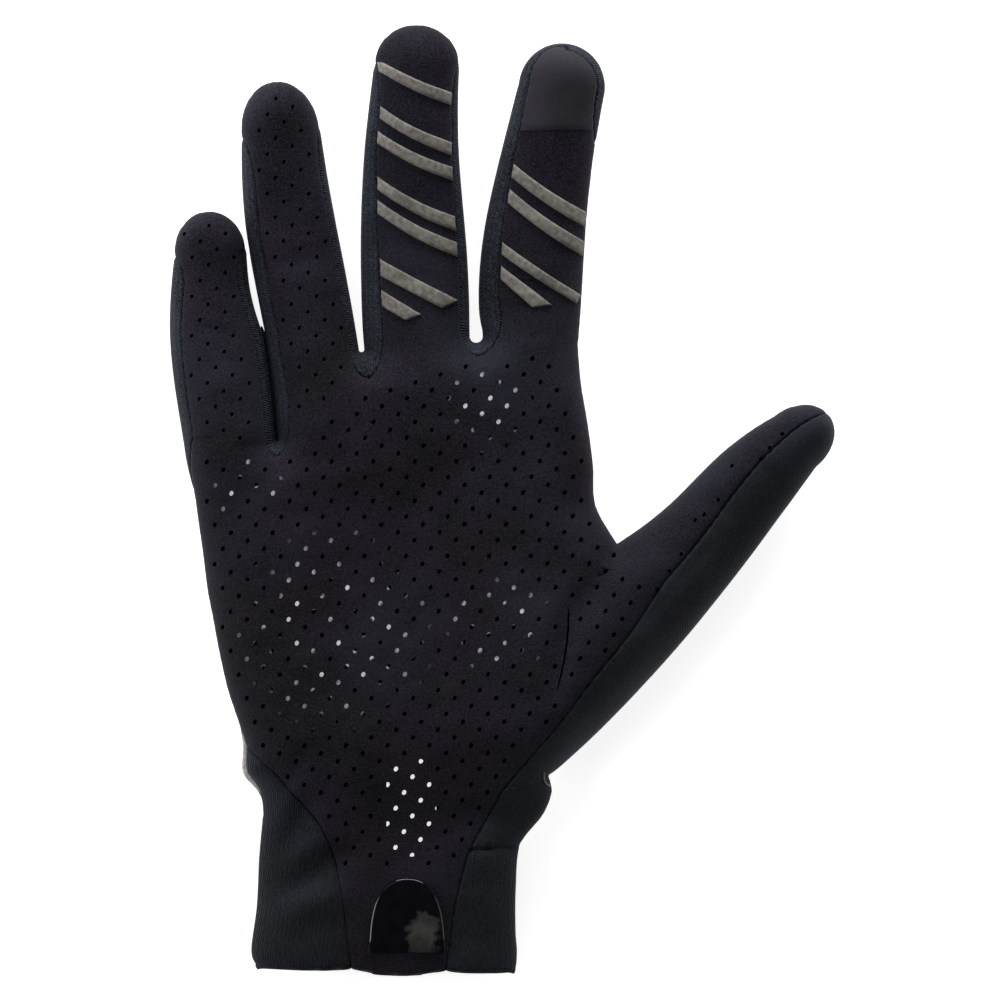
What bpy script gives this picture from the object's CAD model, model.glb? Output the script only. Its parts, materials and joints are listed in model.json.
# %% [markdown]
# A full-finger cycling glove for the right hand, lying on its back with the palm up.
# The frame is a faceted model of the same glove. This lesson replaces each of its panels by a
# fine sheet with rolled seams and wrinkles, punches the perforations, and gives each fabric its
# own surface. Lengths are in millimetres until they go into a mesh, which is in metres.

# %% Load the frame
import json
import math
from collections import Counter

import bpy
import numpy as np
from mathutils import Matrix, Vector

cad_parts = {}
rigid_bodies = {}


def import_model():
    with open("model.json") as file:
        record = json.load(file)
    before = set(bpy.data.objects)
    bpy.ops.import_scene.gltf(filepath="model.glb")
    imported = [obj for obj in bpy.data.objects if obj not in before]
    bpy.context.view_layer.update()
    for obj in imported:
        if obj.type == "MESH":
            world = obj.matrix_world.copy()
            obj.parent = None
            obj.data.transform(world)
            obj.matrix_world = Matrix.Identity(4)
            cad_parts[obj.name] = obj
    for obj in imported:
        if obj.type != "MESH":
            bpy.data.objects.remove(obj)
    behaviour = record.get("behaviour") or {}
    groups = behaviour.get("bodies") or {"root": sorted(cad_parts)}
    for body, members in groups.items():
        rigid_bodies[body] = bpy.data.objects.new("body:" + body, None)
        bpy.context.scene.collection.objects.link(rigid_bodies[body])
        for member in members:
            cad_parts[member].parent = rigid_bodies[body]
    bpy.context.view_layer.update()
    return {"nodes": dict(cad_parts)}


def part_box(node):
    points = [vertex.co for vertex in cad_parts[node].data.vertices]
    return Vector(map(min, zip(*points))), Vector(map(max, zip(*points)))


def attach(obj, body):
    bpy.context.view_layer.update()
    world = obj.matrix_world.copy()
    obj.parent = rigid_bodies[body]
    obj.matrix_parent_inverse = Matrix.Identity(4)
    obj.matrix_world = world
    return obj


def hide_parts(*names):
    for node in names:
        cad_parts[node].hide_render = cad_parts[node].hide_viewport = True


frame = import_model()

# %% [markdown]
# ## The plan of the glove
# A glove is cut flat, so its plan comes first: one closed outline of hand, fingers, thumb and
# cuff. It could be traced point by point. Here it is worked out from the hand's sizes, as in the
# frame, because then a seam can be placed by words such as "a tenth of the width in from the
# side of the ring finger", and every panel meets its neighbour exactly.

# %% Sizes of the hand, in millimetres
hand_width = 103.0
palm_length = 112.5
cuff_width = 65.0
cuff_length = 46.0
hem_sag = 1.8

pinky_size = {"reach": 57.3, "width": 18.2, "tip": 10.5}
ring_size = {"reach": 78.2, "width": 19.8, "tip": 12.8}
middle_size = {"reach": 79.1, "width": 21.4, "tip": 9.6}
index_size = {"reach": 74.0, "width": 21.6, "tip": 11.0}
thumb_size = {"side": 50.5, "width": 16.5, "tip": 10.5, "angle": 50.9}

pinky_ring_slit, pinky_ring_gap = 0.5, 2.16
ring_middle_slit, ring_middle_gap = 1.4, 12.8
middle_index_slit, middle_index_gap = 3.2, 14.44

edge_height = 8.5
palm_rise = 10.5
finger_rise = 8.3
thumb_rise = 8.6
cuff_rise = 8.0
back_drop = 9.0
hand_roll = 12.0
cuff_roll = 20.0
finger_curl = 6.0
thumb_lift = 7.0

suede_wall = 1.0
knit_wall = 0.9

finger_roll_share = 0.48  # the widest roll, as a share of a finger's width
on_edge = 0.06  # a place this near the outline counts as lying on it
seam_depth, seam_width = 0.9, 0.8
strip_seam_depth, strip_seam_width = 0.7, 0.6
stitch_step = 2.6


def on_palm(rows):
    """Places given as shares across the hand and up the palm."""
    rows = np.atleast_2d(np.array(rows, float))
    return rows * (hand_width, palm_length) + (0.0, cuff_length)


def on_cuff(rows):
    """Places given as shares across the cuff and up the cuff."""
    return np.atleast_2d(np.array(rows, float)) * (cuff_width, cuff_length)


def between(a, b, share):
    """The straight mix of a and b: share 0 is a, share 1 is b. Shares may be a list."""
    share = np.asarray(share, float)[..., None]
    return np.asarray(a) * (1 - share) + np.asarray(b) * share


def smooth(low, high, value):
    """The S curve that goes from 0 at low to 1 at high."""
    t = np.clip((value - low) / (high - low), 0, 1)
    return t * t * (3 - 2 * t)


def through(points, place):
    """A Catmull-Rom curve through the points: place k is point k, and halves lie between."""
    points = np.asarray(points, float)
    place = np.asarray(place, float)
    last = len(points) - 1
    low = np.clip(np.floor(place).astype(int), 0, last - 1)
    t = (place - low)[..., None]
    p0, p1 = points[np.maximum(low - 1, 0)], points[low]
    p2, p3 = points[low + 1], points[np.minimum(low + 2, last)]
    v0, v1 = (p2 - p0) / 2, (p3 - p1) / 2
    return ((2 * p1 - 2 * p2 + v0 + v1) * t**3 + (-3 * p1 + 3 * p2 - 2 * v0 - v1) * t**2 + v0 * t + p1)


# %% Side outlines, from the fingers down to the hem
left_points = np.vstack([
    on_palm([
        [-0.496, 0.778], [-0.486, 0.722], [-0.469, 0.656], [-0.459, 0.589], [-0.449, 0.522],
        [-0.439, 0.444], [-0.425, 0.378], [-0.41, 0.307], [-0.39, 0.229], [-0.362, 0.151],
        [-0.344, 0.098], [-0.342, 0.044],
    ]),
    on_cuff([
        [-0.51, 1.04], [-0.492, 0.989], [-0.481, 0.87], [-0.494, 0.636], [-0.502, 0.375],
        [-0.524, 0.141], [-0.512, 0.054],
    ]),
])
right_points = on_palm([
    [0.464, 0.989], [0.472, 0.9], [0.488, 0.811], [0.501, 0.722], [0.507, 0.633], [0.557, 0.549],
])
notch = on_palm([0.393, 0.032])[0]
right_cuff_points = np.vstack([
    notch,
    on_cuff([
        [0.636, 0.989], [0.6, 0.864], [0.511, 0.696], [0.494, 0.467], [0.493, 0.239],
        [0.498, 0.13], [0.496, 0.032],
    ]),
])
thumb_crotch = right_points[-1]

# %% Crotches and fingers
class Crotch:
    """The bottom of the gap between two fingers, and the bottom of the seam's U below it."""

    def __init__(self, place, shift, drop, slit):
        self.bottom = on_palm(place)[0]
        self.slit = slit
        self.left_top = self.bottom + (-slit / 2, slit / 2)
        self.right_top = self.bottom + (slit / 2, slit / 2)
        self.seam_point = self.bottom + (shift * hand_width, -drop * hand_width)


class Finger:
    """A finger between its two base points. bulge gives, for either side, how far it swells
    outwards as a share of the width, the skew of the place where it swells most, and a sway,
    which swells the lower half and draws in the upper one. A finger that leans on its right
    neighbour stops short of it by the slit."""

    leans_on = None

    def __init__(self, left, right, centre, width, tip, along, bulge):
        self.base = {"left": np.array(left), "right": np.array(right)}
        self.centre, self.width, self.tip, self.along, self.bulge = centre, width, tip, along, bulge
        self.across = np.array([along[1], -along[0]])
        self.corner = {
            "left": centre - self.across * width / 2,
            "right": centre + self.across * width / 2,
        }

    def side_at(self, side, y):
        """Where the straight line of one side stands at height y."""
        low, high = self.base[side], self.corner[side]
        return low[0] + (high[0] - low[0]) * min(max((y - low[1]) / (high[1] - low[1]), 0), 1)

    def rail(self, side, place):
        """The outline: 0 at the base, 1 under the round tip, 2 at its end. Straight with
        sine-shaped swellings up to 1, then a quarter of an ellipse."""
        hand = -1 if side == "left" else 1
        place = np.asarray(place, float)
        low, high = self.base[side], self.corner[side]
        run = (high - low) / np.linalg.norm(high - low)
        size, skew, sway = self.bulge[side]
        part = np.clip(place, 0, 1)
        swell = hand * self.width * (size * np.sin(np.pi * part**skew) + sway * np.sin(2 * np.pi * part))
        shaft = between(low, high, part) + swell[..., None] * np.array([run[1], -run[0]])
        if self.leans_on is not None and side == "right":
            low, high = self.leans_on.base["left"][1], self.leans_on.corner["left"][1]
            beside = self.leans_on.rail("left", np.clip((shaft[..., 1] - low) / (high - low), 0, 1))
            shaft[..., 0] = np.minimum(shaft[..., 0], beside[..., 0] - pinky_ring_slit)
        turn = np.clip(place - 1, 0, 1) * np.pi / 2
        tip = (self.centre + hand * self.width / 2 * np.cos(turn)[..., None] * self.across
               + self.tip * np.sin(turn)[..., None] * self.along)
        return np.where(place[..., None] > 1, tip, shaft)

    def inward(self, side, place):
        """The direction into the finger at a place on the outline."""
        place = np.asarray(place, float)
        run = self.rail(side, np.minimum(place + 0.01, 2)) - self.rail(side, np.maximum(place - 0.01, 0))
        run /= np.linalg.norm(run, axis=-1, keepdims=True)
        turned = np.stack([run[..., 1], -run[..., 0]], -1)
        return np.where(place[..., None] >= 2, -self.along, turned if side == "left" else -turned)


def place_finger(left, right, size, bulge, centre_x=None):
    """Stands a finger on its two base points, straight up or leaning to centre_x."""
    middle_of_base = (left + right) / 2
    top = middle_of_base[1] + size["reach"] - size["tip"]
    centre = np.array([middle_of_base[0] if centre_x is None else centre_x(top), top])
    along = (centre - middle_of_base) / np.linalg.norm(centre - middle_of_base)
    return Finger(left, right, centre, size["width"], size["tip"], along, bulge)


pinky_ring = Crotch([-0.268, 0.7756], 0, 0.034, pinky_ring_slit)
ring_middle = Crotch([-0.063, 0.973], 0.016, 0.058, ring_middle_slit)
middle_index = Crotch([0.215, 0.994], 0.001, 0.03, middle_index_slit)

middle = place_finger(
    ring_middle.right_top, middle_index.left_top, middle_size,
    {"left": (0.094, 0.86, -0.007), "right": (-0.033, 1.7, 0.018)},
)
ring = place_finger(
    pinky_ring.right_top, ring_middle.left_top, ring_size,
    {"left": (0.047, 1.0, -0.049), "right": (-0.007, 1.16, 0.01)},
    lambda y: middle.side_at("left", y) - ring_middle_gap - ring_size["width"] / 2,
)
pinky = place_finger(
    left_points[0], pinky_ring.left_top, pinky_size,
    {"left": (0.11, 1.0, -0.008), "right": (0.07, 0.8, 0.075)},
    lambda y: ring.side_at("left", y) - pinky_ring_gap - pinky_size["width"] / 2,
)
pinky.leans_on = ring
index = place_finger(
    middle_index.right_top, right_points[0], index_size,
    {"left": (0.151, 0.74, 0.006), "right": (-0.056, 1.5, 0.0)},
    lambda y: middle.side_at("right", y) + middle_index_gap + index_size["width"] / 2,
)
thumb_turn = math.radians(thumb_size["angle"])
thumb_along = np.array([math.sin(thumb_turn), math.cos(thumb_turn)])
thumb_across = np.array([thumb_along[1], -thumb_along[0]])
thumb = Finger(
    thumb_crotch, notch,
    thumb_crotch + thumb_along * thumb_size["side"] + thumb_across * thumb_size["width"] / 2,
    thumb_size["width"], thumb_size["tip"], thumb_along,
    {"left": (0.022, 1.72, -0.054), "right": (0.202, 0.85, 0.0)},
)
thumb_root = 0.545


def opposite(place):
    """The thumb's outer side is longer than its inner one: the place opposite."""
    place = np.asarray(place, float)
    return np.where(place > 1, place, thumb_root + (1 - thumb_root) * place)


# %% The whole outline, with the width over which the skin rolls from it
def roll_at(y):
    """The cuff rolls wide and flat, the hand in a rounder bend."""
    share = smooth(cuff_length * 0.6, cuff_length + palm_length * 0.15, y)
    return cuff_roll + (hand_roll - cuff_roll) * share


def finger_line(finger, other=lambda place: place):
    """Up one side of a finger, round the tip and down the other."""
    places = np.r_[np.linspace(0, 1, 37), np.linspace(1, 2, 21)[1:]]
    low = np.minimum(places, 1)
    across = finger.rail("left", low) - finger.rail("right", np.minimum(other(low), 1))
    roll = np.minimum(hand_roll, finger_roll_share * np.linalg.norm(across, axis=1))
    left = np.c_[finger.rail("left", places), roll]
    right = np.c_[finger.rail("right", other(places)), roll]
    return np.vstack([left, right[::-1][1:]])


def crotch_line(crotch):
    """The small half circle at the bottom of a gap."""
    turn = np.linspace(np.pi, 2 * np.pi, 13)[1:-1]
    centre = crotch.bottom + (0, crotch.slit / 2)
    arc = centre + crotch.slit / 2 * np.c_[np.cos(turn), np.sin(turn)]
    return np.c_[arc, np.full(len(arc), hand_roll)]


def edge_line(points, steps=8):
    """A side outline as a fine line, with its roll."""
    line = through(points, np.linspace(0, len(points) - 1, (len(points) - 1) * steps + 1))
    return np.c_[line, roll_at(line[:, 1])]


lower_thumb = thumb.rail("right", np.linspace(thumb_root, 0, 31)[1:])
outline = np.vstack([
    edge_line(left_points)[::-1][:-1],
    finger_line(pinky), crotch_line(pinky_ring), finger_line(ring), crotch_line(ring_middle),
    finger_line(middle), crotch_line(middle_index), finger_line(index),
    edge_line(right_points)[1:-1], finger_line(thumb, opposite),
    np.c_[lower_thumb, np.full(len(lower_thumb), hand_roll)],
    edge_line(right_cuff_points)[1:],
])
outline_run = np.gradient(outline[:, :2], axis=0)
outline_run /= np.linalg.norm(outline_run, axis=1, keepdims=True)
outline_inward = np.c_[outline_run[:, 1], -outline_run[:, 0]]
print("the outline has", len(outline), "points")


def nearest_edge(points):
    """For each place: its distance to the outline, the direction inwards, and the roll there."""
    a, b = outline[:-1, :2], outline[1:, :2]
    run = b - a
    size = np.maximum((run**2).sum(1), 1e-12)
    distance, inward, roll = [], [], []
    for part in np.array_split(points, max(len(points) // 3000, 1)):
        away = part[:, None] - a[None]
        share = np.clip((away * run).sum(2) / size, 0, 1)
        gap = away - share[..., None] * run
        best = (gap**2).sum(2).argmin(1)
        pick = np.arange(len(part))
        share, gap = share[pick, best], gap[pick, best]
        far = np.linalg.norm(gap, axis=1)
        normal = between(outline_inward[best], outline_inward[best + 1], share)
        normal /= np.linalg.norm(normal, axis=1, keepdims=True)
        on_line = far < on_edge
        inward.append(np.where(on_line[:, None], normal, gap / np.maximum(far, 1e-9)[:, None]))
        distance.append(np.where(on_line, 0.0, far))
        roll.append(outline[best, 2] * (1 - share) + outline[best + 1, 2] * share)
    return np.concatenate(distance), np.concatenate(inward), np.concatenate(roll)


# %% [markdown]
# ## From plan to skin
# An empty glove keeps a soft, flattened tube's shape. Sculpting would do, but a rule is easier to
# control: the height of the skin over a place depends on how far that place is from the outline,
# as on a quarter circle, so it stands upright at the edge and lies level further in. Mounds and
# folds are added to the front, and the back is cut off where it rests on the table.

# %% Folds and the skin
fold_table = [
    # place, turn in degrees, half length and half width as shares of the hand, height of the rise
    (on_palm([0.43, 0.3]), 45, 0.26, 0.17, 0.36),
    (on_palm([-0.25, 0.3]), 95, 0.3, 0.16, 0.12),
    (on_palm([0.02, 0.52]), 60, 0.3, 0.16, -0.16),
    (on_palm([0.02, 0.9]), 15, 0.42, 0.1, 0.12),
    (on_palm([0.5, 0.46]), 65, 0.13, 0.035, -0.24),
    (on_palm([0.425, 0.32]), 81, 0.12, 0.03, -0.14),
    (on_cuff([-0.36, 0.8]), 60, 0.08, 0.035, -0.2),
    (on_cuff([-0.3, 0.56]), 25, 0.1, 0.035, -0.18),
    (on_cuff([-0.38, 0.38]), 10, 0.1, 0.05, 0.12),
    (on_cuff([0.5, 0.9]), 15, 0.12, 0.04, -0.2),
    (on_cuff([0.42, 0.62]), 160, 0.08, 0.04, 0.12),
]


crease_table = [
    # place on the palm, turn in degrees, half length and half width in millimetres, height
    ([0.54, 0.515], 58, 9.0, 1.0, -0.8), ([0.525, 0.525], 58, 9.0, 1.0, 0.4),
    ([0.452, 0.3], 82, 12.0, 1.6, 0.5), ([0.41, 0.3], 82, 12.0, 1.6, 0.35),
    ([-0.22, -0.215], 24, 8.0, 1.8, -0.9), ([-0.2, -0.26], 24, 8.0, 2.0, 0.45),
    ([-0.24, 0.02], 60, 9.0, 1.6, -0.5), ([-0.29, -0.09], 118, 6.0, 1.6, -0.6),
    ([-0.052, 1.105], -50, 3.4, 0.8, -0.8), ([0.235, 1.12], 70, 5.0, 1.0, -0.5),
    ([-0.22, 1.17], 6, 8.0, 1.6, -0.45), ([-0.2, 1.1], -12, 8.0, 2.0, -0.35),
    ([-0.42, 1.02], -14, 7.0, 1.6, -0.4), ([-0.38, 0.86], -20, 8.0, 2.2, -0.35),
    ([0.06, 1.13], 4, 8.0, 2.0, -0.3), ([0.34, 1.12], -6, 8.0, 2.0, -0.3),
    ([-0.3, 0.68], 35, 16.0, 3.0, -0.45), ([-0.1, 0.74], 12, 14.0, 2.6, -0.35),
    ([0.2, 0.8], -18, 15.0, 2.8, -0.35), ([0.12, 0.42], 52, 20.0, 3.2, -0.4),
    ([0.62, 0.38], 40, 9.0, 2.0, -0.45), ([0.74, 0.5], 46, 8.0, 1.8, -0.4),
    ([0.9, 0.72], -44, 5.0, 1.6, -0.4), ([0.82, 0.62], -42, 5.0, 1.6, -0.35),
    ([0.34, -0.04], 34, 8.0, 1.6, -0.5), ([0.27, -0.2], 100, 8.0, 2.0, -0.35),
    ([0.47, 0.11], 130, 6.0, 1.8, -0.4), ([-0.05, 0.0], 92, 14.0, 3.0, 0.25),
]


def bells(points, rows):
    """The sum of long bell-shaped mounds and hollows, all in millimetres."""
    total = np.zeros(len(points))
    for at, turn, long, wide, high in rows:
        c, s = math.cos(math.radians(turn)), math.sin(math.radians(turn))
        away = points - at
        total += high * np.exp(-((away @ (c, s)) / long) ** 2 - ((away @ (-s, c)) / wide) ** 2)
    return total


fold_rows = [
    (at, turn, long * hand_width, wide * hand_width, high * palm_rise)
    for at, turn, long, wide, high in fold_table
] + [(on_palm([at])[0], *row) for at, *row in crease_table]


def thumb_share(points):
    """0 off the thumb, growing to 1 at its tip."""
    away = points - thumb_crotch
    beside = smooth(-thumb.width / 2, 0, away @ thumb_across)
    return beside * np.clip((away @ thumb_along) / (thumb_size["side"] + thumb_size["tip"]), 0, 1)


wave_source = np.random.default_rng(7)
wave_axes = wave_source.normal(size=(36, 3))
wave_axes /= np.linalg.norm(wave_axes, axis=1, keepdims=True)
wave_lengths = np.geomspace(5, 45, 36)
wave_phases = wave_source.uniform(0, 2 * np.pi, 36)


def wrinkles(outer):
    """Irregular low wrinkles: a sum of 36 plane waves, longer ones higher."""
    waves = np.sin(outer @ (wave_axes * (2 * np.pi / wave_lengths)[:, None]).T + wave_phases)
    return waves @ (0.0026 * wave_lengths)


def skin(points, side):
    """The outer skin over places of the plan, on the front (1) or the back (-1), and the unit
    direction into the glove. Level is 1 at the outline and 0 on the flat, lift the reverse of it
    round a quarter circle."""
    distance, inward, roll = nearest_edge(points)
    level = 1 - np.minimum(distance / roll, 1)
    lift = np.sqrt(1 - level**2)
    on_thumb = thumb_share(points)
    y = points[:, 1]
    tipward = np.maximum(y - cuff_length - palm_length, 0) / middle_size["reach"]
    edge = edge_height + finger_curl * tipward**2 + thumb_lift * on_thumb**2
    fingerward = smooth(cuff_length + palm_length * 0.75, cuff_length + palm_length * 1.1, y)
    cuffward = 1 - smooth(cuff_length * 0.6, cuff_length + palm_length * 0.15, y)
    rise = palm_rise + (finger_rise - palm_rise) * fingerward
    rise = rise + (cuff_rise - rise) * cuffward
    rise = rise + (thumb_rise - rise) * smooth(0, 0.5, on_thumb)
    front = edge + rise * lift + bells(points, fold_rows) * lift**2
    back = np.maximum(edge - back_drop * lift, 0)
    outer = np.c_[points, front if side > 0 else back]
    into = np.c_[inward * level[:, None], -side * lift]
    raised = wrinkles(outer) * smooth(0, 4, outer[:, 2]) * (0.1 + 0.9 * lift)
    return outer - into * raised[:, None], into


# %% [markdown]
# ## Panels
# Each panel is a stretch of that skin between seams. A block is a grid of plan places, rows by
# columns, and a panel joins one or more blocks. Its border is rolled in like a turned seam, a
# second skin one wall further in gives it thickness, and a rim closes it. Blender's Solidify
# could add the wall, but here the wall follows the same direction on both sides of a seam, so
# neighbours never cross.

# %% Build a closed sheet from blocks
tab_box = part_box("pull_tab")
tab_width, tab_height = 19.0, 18.5
tab_foot = on_cuff([0.077, 0.13])[0]
shift = np.array([
    500 * (tab_box[0].x + tab_box[1].x) - tab_foot[0],
    500 * (tab_box[0].y + tab_box[1].y) - tab_foot[1] - tab_height / 2,
    0.0,
])
print("the plan moves by", shift.round(2), "mm into the frame")


def to_mesh(name, corners, faces, uv=None):
    """Puts corners in plan millimetres and faces into a mesh object, in metres."""
    mesh = bpy.data.meshes.new(name)
    mesh.from_pydata(((corners + shift) / 1000).tolist(), [], [list(face) for face in faces])
    if uv is not None:
        layer = mesh.uv_layers.new(name="UVMap")
        loops = np.zeros(len(mesh.loops), np.int32)
        mesh.loops.foreach_get("vertex_index", loops)
        layer.data.foreach_set("uv", (uv[loops] / 1000).astype(np.float32).ravel())
    mesh.update()
    piece = bpy.data.objects.new(name, mesh)
    bpy.context.scene.collection.objects.link(piece)
    return piece


def quads_of(ids):
    """The faces of a grid of corner numbers."""
    return np.stack([ids[:-1, :-1], ids[:-1, 1:], ids[1:, 1:], ids[1:, :-1]], -1).reshape(-1, 4)


def in_use(faces):
    """The corners that faces use, and the faces with just these corners numbered from 0."""
    used = np.unique(np.concatenate(faces))
    number = np.zeros(used[-1] + 1, int)
    number[used] = np.arange(len(used))
    return used, [number[face].tolist() for face in faces]


def gather(blocks):
    """Joins blocks of places into one open surface: corners that meet become one."""
    outers, intos, uvs, quads = [], [], [], []
    start = 0
    for grid, side in blocks:
        rows, columns = grid.shape[:2]
        outer, into = skin(grid.reshape(-1, 2), side)
        step_down = np.linalg.norm(np.diff(grid, axis=0), axis=2).mean(1)
        along = np.broadcast_to(np.r_[0, np.cumsum(step_down)][:, None], (rows, columns))
        step_right = np.linalg.norm(np.diff(grid, axis=1), axis=2)
        across = np.c_[np.zeros(rows), np.cumsum(step_right, axis=1)] * side
        quad = quads_of(start + np.arange(rows * columns).reshape(rows, columns))
        d1 = grid[1:, 1:] - grid[:-1, :-1]
        d2 = grid[1:, :-1] - grid[:-1, 1:]
        area = (d1[..., 0] * d2[..., 1] - d1[..., 1] * d2[..., 0]).sum()
        quads.append(quad[:, ::-1] if area * side < 0 else quad)
        outers.append(outer)
        intos.append(into)
        uvs.append(np.c_[along.ravel(), across.ravel()])
        start += rows * columns
    outer = np.vstack(outers)
    _, first, same = np.unique(np.round(outer, 3), axis=0, return_index=True, return_inverse=True)
    used, faces = in_use(tidy_faces(same.reshape(-1)[np.vstack(quads)]))
    first = first[used]
    return outer[first], np.vstack(intos)[first], np.vstack(uvs)[first], faces


def tidy_faces(quads):
    """Quads that close to a point become triangles. Empty ones go, and so do two back to back."""
    faces = []
    for quad in quads.tolist():
        kept = [corner for i, corner in enumerate(quad) if corner != quad[i - 1]]
        if len(set(kept)) == len(kept) >= 3:
            faces.append(kept)
    times = Counter(frozenset(face) for face in faces)
    return [face for face in faces if times[frozenset(face)] == 1]


def border_of(faces):
    """Directed edges that only one face has."""
    edges = {(a, b) for face in faces for a, b in zip(face, face[1:] + face[:1])}
    return np.array([edge for edge in edges if edge[::-1] not in edges])


def distance_to_lines(corners, lines):
    """Distance of each corner to the nearest of many short straight lines."""
    a, b = lines[:, 0], lines[:, 1]
    run = b - a
    size = np.maximum((run**2).sum(1), 1e-12)
    parts = []
    for part in np.array_split(corners, max(len(corners) // 2000, 1)):
        away = part[:, None] - a[None]
        share = np.clip((away * run).sum(2) / size, 0, 1)
        parts.append(np.sqrt(((away - share[..., None] * run) ** 2).sum(2).min(1)))
    return np.concatenate(parts)


def seam_roll(distance, depth, width):
    """How deep a border sinks: a quarter circle down over width, in a wide shallow valley."""
    near = 1 - np.clip(distance / width, 0, 1)
    return depth * (1 - np.sqrt(1 - near**2)) + 0.3 * depth * np.exp(-((distance / (3 * width)) ** 2))


seams_of = {}
pucker_wave = 2 * np.pi / stitch_step * np.array([0.45, 0.89, 0.0])


def seam_sink(outer, into, lines, depth, width):
    """How deep the skin sinks towards seams, in millimetres. It sinks less where it stands
    upright, and the stitches pucker it."""
    upright = 0.3 + 0.7 * np.abs(into[:, 2])
    pucker = 1 + 0.3 * np.sin(outer @ pucker_wave)
    return seam_roll(distance_to_lines(outer, lines), depth, width) * (upright * pucker)


def shell(name, top, under, faces, border, uv=None):
    """A closed piece: its top, its underside turned over, and a wall along the border."""
    count = len(top)
    turned = [[corner + count for corner in face[::-1]] for face in faces]
    walls = [[b, a, a + count, b + count] for a, b in border.tolist()]
    uv = None if uv is None else np.vstack([uv, uv])
    return to_mesh(name, np.vstack([top, under]), faces + turned + walls, uv)


def sheet(name, blocks, wall, depth=seam_depth, width=seam_width, lined=False):
    """A closed sheet: the outer skin with its border rolled in, and an inner skin one wall
    further in. The inner skin of a lined sheet has a second material."""
    outer, into, uv, faces = gather(blocks)
    border = border_of(faces)
    seams_of[name] = outer[border]
    outer = outer + into * seam_sink(outer, into, outer[border], depth, width)[:, None]
    inner = outer + into * wall
    outer[:, 2] = np.maximum(outer[:, 2], 0.0)
    piece = shell(name, outer, inner, faces, border, uv)
    if lined:
        piece.data.materials.append(None)
        piece.data.materials.append(None)
        which = np.repeat([0, 1, 0], [len(faces), len(faces), len(border)]).astype(np.int32)
        piece.data.polygons.foreach_set("material_index", which)
    print(name, len(piece.data.vertices), "corners")
    return piece


# %% Seams along the fingers
front_seams = {
    pinky: {"left": (0, 1, 0.13, 0.17), "right": (0, 1, 0.11, 0.12)},
    ring: {"left": (0, 1, 0.16, 0.17), "right": (0, 1, 0.08, 0.06)},
    middle: {"left": (0, 1, 0.24, 0.09), "right": (0, 1, 0.1, 0.05)},
    index: {"left": (0, 2, 0.25, 0.1), "right": (0.8, 2, 0.05, 0.08)},
}
back_seams = {
    pinky: {"left": (0, 1, 0.2, 0.18), "right": (0, 1, 0.18, 0.16)},
    ring: {"left": (0, 1, 0.2, 0.18), "right": (0, 1, 0.18, 0.16)},
    middle: {"left": (0, 1, 0.2, 0.18), "right": (0, 1, 0.18, 0.16)},
    index: {"left": (0, 2, 0.22, 0.1), "right": (0.8, 2, 0.06, 0.08)},
}


seam_bend = 0.15  # how much of a place a seam takes to run out to the edge


def inset(finger, seams, side, place):
    """How far in from the outline a seam runs. It covers places first to last, and its inset
    goes from low to high; it starts and ends with a short bend to the edge."""
    first, last, low, high = seams[finger][side]
    place = np.asarray(place, float)
    ends = np.minimum(
        (place - first) / seam_bend if first > 0 else 1.0,
        (last - place) / seam_bend if last < 2 else 1.0,
    )
    share = low + (high - low) * (place / 2 + np.minimum(place, 1) / 2)
    return finger.width * share * np.sqrt(np.clip(ends, 0, 1))


def seam_spot(finger, seams, side, place):
    """The seam's place beside a place on the outline."""
    away = inset(finger, seams, side, place)[..., None]
    return finger.rail(side, place) + away * finger.inward(side, place)


fan_rows = 9
climb = np.linspace(0, 1, fan_rows + 1)[:-1]


def seam_foot(crotch, above):
    """The seam's U below a crotch, up to a spot on a finger's side: a quarter of an ellipse."""
    turn = climb * np.pi / 2
    low = crotch.seam_point
    reach = above - low
    return np.c_[low[0] + reach[0] * np.sin(turn), low[1] + reach[1] * (1 - np.cos(turn))]


def seam_line(finger, seams, side, crotch):
    """Places of a seam from the U below the crotch up to the tip, on the rows of the finger."""
    straight = seam_spot(finger, seams, side, finger_places)
    if crotch is None:
        return np.vstack([between(seam_spot(finger, seams, side, 0.0), straight[0], climb), straight])
    return np.vstack([seam_foot(crotch, straight[0]), straight])


finger_places = np.r_[np.linspace(0.06, 1, 46), 1 + np.linspace(0, 1, 15)[1:]]
cosine = lambda count: (1 - np.cos(np.linspace(0, np.pi, count + 1))) / 2


def rows_between(lefts, rights, shares):
    """A grid whose rows run straight from lefts to rights."""
    shares = np.asarray(shares)[None, :, None]
    return lefts[:, None] * (1 - shares) + rights[:, None] * shares


def finger_grid(finger, seams, left_crotch, right_crotch, shares):
    """The front or back of a finger between its two seams, from the U row to the tip."""
    lefts = seam_line(finger, seams, "left", left_crotch)
    rights = seam_line(finger, seams, "right", right_crotch)
    return rows_between(lefts, rights, shares)


# %% Long seams and side lines, all on the same row numbers: 0 under the fingers, 18 at the hem
left_seam_points = np.vstack([
    left_points[10], on_palm([-0.285, 0.049]),
    on_cuff([
        [-0.402, 1.043], [-0.356, 0.973], [-0.267, 0.832], [-0.202, 0.636], [-0.167, 0.375],
        [-0.152, 0.185], [-0.137, 0.043],
    ]),
])
thumb_seam_base, thumb_seam_tip = 0.53, 0.34


def thumb_seam(place):
    """The seam along the thumb, at a share of its width from the inner side."""
    share = (thumb_seam_base + (thumb_seam_tip - thumb_seam_base) * np.minimum(place, 1))[..., None]
    return thumb.rail("left", place) * (1 - share) + thumb.rail("right", opposite(place)) * share


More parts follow.
